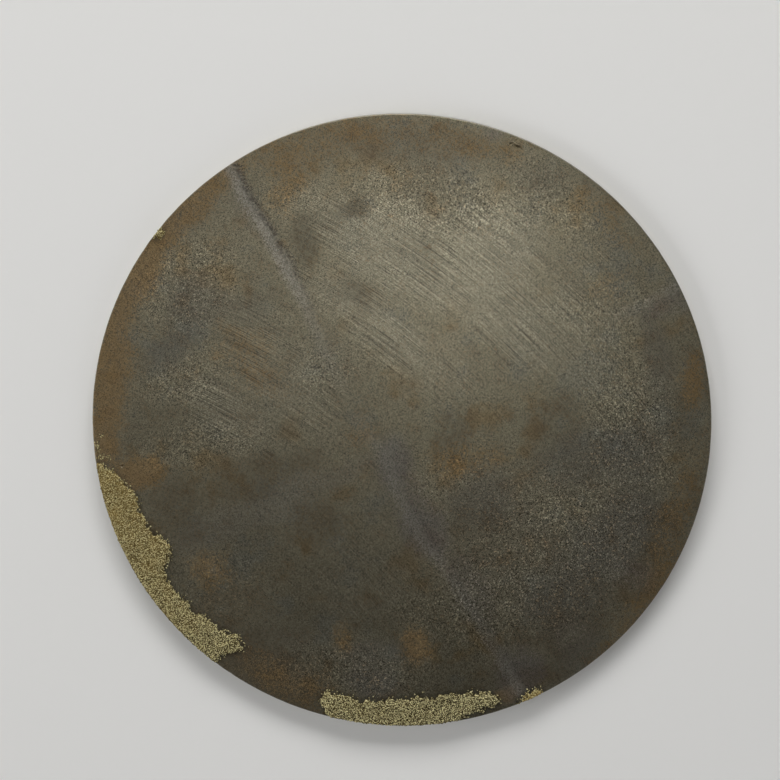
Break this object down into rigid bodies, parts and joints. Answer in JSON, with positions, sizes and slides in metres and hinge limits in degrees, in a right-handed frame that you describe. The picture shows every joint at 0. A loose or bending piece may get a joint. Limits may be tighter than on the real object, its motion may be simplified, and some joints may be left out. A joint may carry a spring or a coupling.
{
  "type": "ancient bronze mirror",
  "caption": "Round cast-bronze mirror with a gently convex polished face, a raised back rim and a low pierced knob, lying face up, patinated and crusted with corrosion.",
  "frame": {"origin": "under the middle of the disc, on the plane that the back rim rests on", "axes": "+Z out of the polished face, +Y towards the edge that is uppermost when the mirror is shown upright, +X to the right of the face"},
  "size_m": [0.18, 0.18, 0.0077],
  "materials": {
    "bronze": "worn polished high-tin bronze under a dull olive-brown patina, with diagonal polishing scratches and rust-brown staining along the edge",
    "crust": "matt granular khaki and ochre corrosion crust"
  },
  "bodies": {
    "root": {"mirror": "bronze"}
  },
  "joints": []
}
